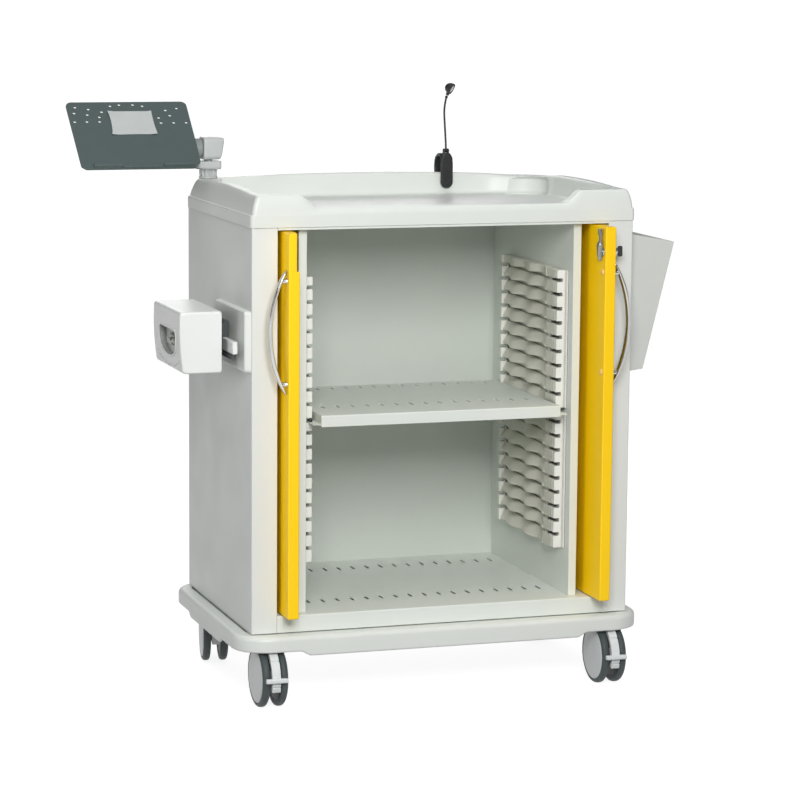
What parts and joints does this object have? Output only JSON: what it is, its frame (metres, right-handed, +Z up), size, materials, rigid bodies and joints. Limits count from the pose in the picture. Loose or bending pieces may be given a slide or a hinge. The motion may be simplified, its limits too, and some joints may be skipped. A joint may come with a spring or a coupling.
{
  "type": "medical chart rack",
  "caption": "Mobile clinic cabinet for charts: steel body, sliding yellow doors, runner panels, pull-out shelf, rimmed worktop, tilting tablet board, glove-box holder, document pocket and lamp.",
  "frame": {"origin": "centre of the overall bounding box, at floor level under the castors", "axes": "+X to the right as seen from the front, +Y to the back, +Z up; the doors open towards -Y"},
  "size_m": [1.198, 0.604, 1.2465],
  "materials": {
    "abs_plastic": "moulded, fine satin texture",
    "body_paint": "satin powder coat",
    "inner_paint": "satin powder coat",
    "door_paint": "semi-gloss powder coat",
    "runner_plastic": "moulded, satin",
    "handle_steel": "brushed",
    "zinc_steel": "zinc plated",
    "slate_plastic": "satin",
    "tyre_rubber": "matte",
    "castor_plastic": "satin",
    "holder_plastic": "semi-gloss",
    "rail_paint": "satin powder coat",
    "black_plastic": "satin",
    "label_paper": "blank, matte",
    "glove_stack": "soft, matte",
    "lens_plastic": "clear-frosted"
  },
  "bodies": {
    "cabinet": {"base_bumper": "abs_plastic", "chassis_beam_front": "zinc_steel", "chassis_beam_rear": "zinc_steel", "left_side_panel": "body_paint", "right_side_panel": "body_paint", "back_panel": "body_paint", "left_partition": "inner_paint", "right_partition": "inner_paint", "deck_panel": "inner_paint", "roof_panel": "inner_paint", "worktop": "abs_plastic", "left_upper_runner_panel": "runner_plastic", "left_lower_runner_panel": "runner_plastic", "right_upper_runner_panel": "runner_plastic", "right_lower_runner_panel": "runner_plastic", "left_lower_door_rail": "zinc_steel", "left_upper_door_rail": "zinc_steel", "right_lower_door_rail": "zinc_steel", "right_upper_door_rail": "zinc_steel", "post_collar": "castor_plastic", "rail_pad": "abs_plastic", "rail_standoff_front": "black_plastic", "rail_standoff_rear": "black_plastic", "side_rail": "rail_paint", "glove_box_holder": "holder_plastic", "glove_pack": "glove_stack", "document_pocket": "body_paint", "lamp_clip": "black_plastic"},
    "castor_fl": {"castor_fl_fork": "castor_plastic"},
    "castor_fl_wheel_left": {"castor_fl_wheel_left": "tyre_rubber"},
    "castor_fl_wheel_right": {"castor_fl_wheel_right": "tyre_rubber"},
    "castor_fl_brake_pedal": {"castor_fl_brake_pedal": "castor_plastic"},
    "castor_fr": {"castor_fr_fork": "castor_plastic"},
    "castor_fr_wheel_left": {"castor_fr_wheel_left": "tyre_rubber"},
    "castor_fr_wheel_right": {"castor_fr_wheel_right": "tyre_rubber"},
    "castor_fr_brake_pedal": {"castor_fr_brake_pedal": "castor_plastic"},
    "castor_rl": {"castor_rl_fork": "castor_plastic"},
    "castor_rl_wheel_left": {"castor_rl_wheel_left": "tyre_rubber"},
    "castor_rl_wheel_right": {"castor_rl_wheel_right": "tyre_rubber"},
    "castor_rr": {"castor_rr_fork": "castor_plastic"},
    "castor_rr_wheel_left": {"castor_rr_wheel_left": "tyre_rubber"},
    "castor_rr_wheel_right": {"castor_rr_wheel_right": "tyre_rubber"},
    "left_door": {"left_door": "door_paint", "left_door_handle": "handle_steel", "left_door_carrier": "zinc_steel"},
    "right_door": {"right_door": "door_paint", "right_door_handle": "handle_steel", "right_door_carrier": "zinc_steel", "lock_cylinder": "handle_steel"},
    "door_lock": {"lock_cam_and_key": "handle_steel"},
    "shelf": {"shelf": "inner_paint"},
    "board_post": {"post_swivel_block": "castor_plastic", "tilt_head": "castor_plastic"},
    "board": {"board_arm": "slate_plastic", "tablet_board": "slate_plastic", "board_label": "label_paper"},
    "lamp_jaw": {"lamp_clip_jaw": "black_plastic"},
    "lamp_neck": {"lamp_neck": "black_plastic"},
    "lamp_head": {"lamp_head": "black_plastic", "lamp_lens": "lens_plastic"}
  },
  "joints": [
    {"name": "castor_fl_swivel", "type": "hinge", "parent": "cabinet", "child": "castor_fl", "pos_m": [-0.291, -0.197, 0.13], "axis": [0, 0, 1], "continuous": true},
    {"name": "castor_fl_wheel_left_spin", "type": "hinge", "parent": "castor_fl", "child": "castor_fl_wheel_left", "pos_m": [-0.31, -0.226, 0.0625], "axis": [1, 0, 0], "continuous": true},
    {"name": "castor_fl_wheel_right_spin", "type": "hinge", "parent": "castor_fl", "child": "castor_fl_wheel_right", "pos_m": [-0.272, -0.226, 0.0625], "axis": [1, 0, 0], "continuous": true},
    {"name": "castor_fl_brake_press", "type": "hinge", "parent": "castor_fl", "child": "castor_fl_brake_pedal", "pos_m": [-0.291, -0.226, 0.0625], "axis": [1, 0, 0], "range_deg": [0, 15]},
    {"name": "castor_fr_swivel", "type": "hinge", "parent": "cabinet", "child": "castor_fr", "pos_m": [0.449, -0.197, 0.13], "axis": [0, 0, 1], "continuous": true},
    {"name": "castor_fr_wheel_left_spin", "type": "hinge", "parent": "castor_fr", "child": "castor_fr_wheel_left", "pos_m": [0.43, -0.226, 0.0625], "axis": [1, 0, 0], "continuous": true},
    {"name": "castor_fr_wheel_right_spin", "type": "hinge", "parent": "castor_fr", "child": "castor_fr_wheel_right", "pos_m": [0.468, -0.226, 0.0625], "axis": [1, 0, 0], "continuous": true},
    {"name": "castor_fr_brake_press", "type": "hinge", "parent": "castor_fr", "child": "castor_fr_brake_pedal", "pos_m": [0.449, -0.226, 0.0625], "axis": [1, 0, 0], "range_deg": [0, 15]},
    {"name": "castor_rl_swivel", "type": "hinge", "parent": "cabinet", "child": "castor_rl", "pos_m": [-0.291, 0.225, 0.13], "axis": [0, 0, 1], "continuous": true},
    {"name": "castor_rl_wheel_left_spin", "type": "hinge", "parent": "castor_rl", "child": "castor_rl_wheel_left", "pos_m": [-0.3143, 0.19933, 0.0625], "axis": [0.9877, -0.1564, 0], "continuous": true},
    {"name": "castor_rl_wheel_right_spin", "type": "hinge", "parent": "castor_rl", "child": "castor_rl_wheel_right", "pos_m": [-0.27677, 0.19339, 0.0625], "axis": [0.9877, -0.1564, 0], "continuous": true},
    {"name": "castor_rr_swivel", "type": "hinge", "parent": "cabinet", "child": "castor_rr", "pos_m": [0.449, 0.225, 0.13], "axis": [0, 0, 1], "continuous": true},
    {"name": "castor_rr_wheel_left_spin", "type": "hinge", "parent": "castor_rr", "child": "castor_rr_wheel_left", "pos_m": [0.43, 0.196, 0.0625], "axis": [1, 0, 0], "continuous": true},
    {"name": "castor_rr_wheel_right_spin", "type": "hinge", "parent": "castor_rr", "child": "castor_rr_wheel_right", "pos_m": [0.468, 0.196, 0.0625], "axis": [1, 0, 0], "continuous": true},
    {"name": "left_door_slide", "type": "slide", "parent": "cabinet", "child": "left_door", "axis": [0, -1, 0], "range_m": [0, 0.27]},
    {"name": "right_door_slide", "type": "slide", "parent": "cabinet", "child": "right_door", "axis": [0, -1, 0], "range_m": [0, 0.26]},
    {"name": "door_lock_turn", "type": "hinge", "parent": "right_door", "child": "door_lock", "pos_m": [0.417, -0.286, 0.923], "axis": [1, 0, 0], "range_deg": [0, 90]},
    {"name": "shelf_slide", "type": "slide", "parent": "cabinet", "child": "shelf", "axis": [0, -1, 0], "range_m": [0, 0.25]},
    {"name": "board_swivel", "type": "hinge", "parent": "cabinet", "child": "board_post", "pos_m": [-0.296, 0.236, 1.067], "axis": [0, 0, 1], "range_deg": [-90, 90]},
    {"name": "board_tilt", "type": "hinge", "parent": "board_post", "child": "board", "pos_m": [-0.333, 0.236, 1.111], "axis": [1, 0, 0], "range_deg": [-36, 6]},
    {"name": "lamp_jaw_open", "type": "hinge", "parent": "cabinet", "child": "lamp_jaw", "pos_m": [0.243, 0.2715, 1.0845], "axis": [1, 0, 0], "range_deg": [0, 20], "stiffness_Nm_per_rad": 0.5, "springref_deg": -8.59},
    {"name": "lamp_neck_bend", "type": "hinge", "parent": "cabinet", "child": "lamp_neck", "pos_m": [0.243, 0.238, 1.0985], "axis": [1, 0, 0], "range_deg": [-40, 40]},
    {"name": "lamp_head_tilt", "type": "hinge", "parent": "lamp_neck", "child": "lamp_head", "pos_m": [0.2424, 0.2362, 1.216], "axis": [0, 1, 0], "range_deg": [-45, 45]}
  ]
}
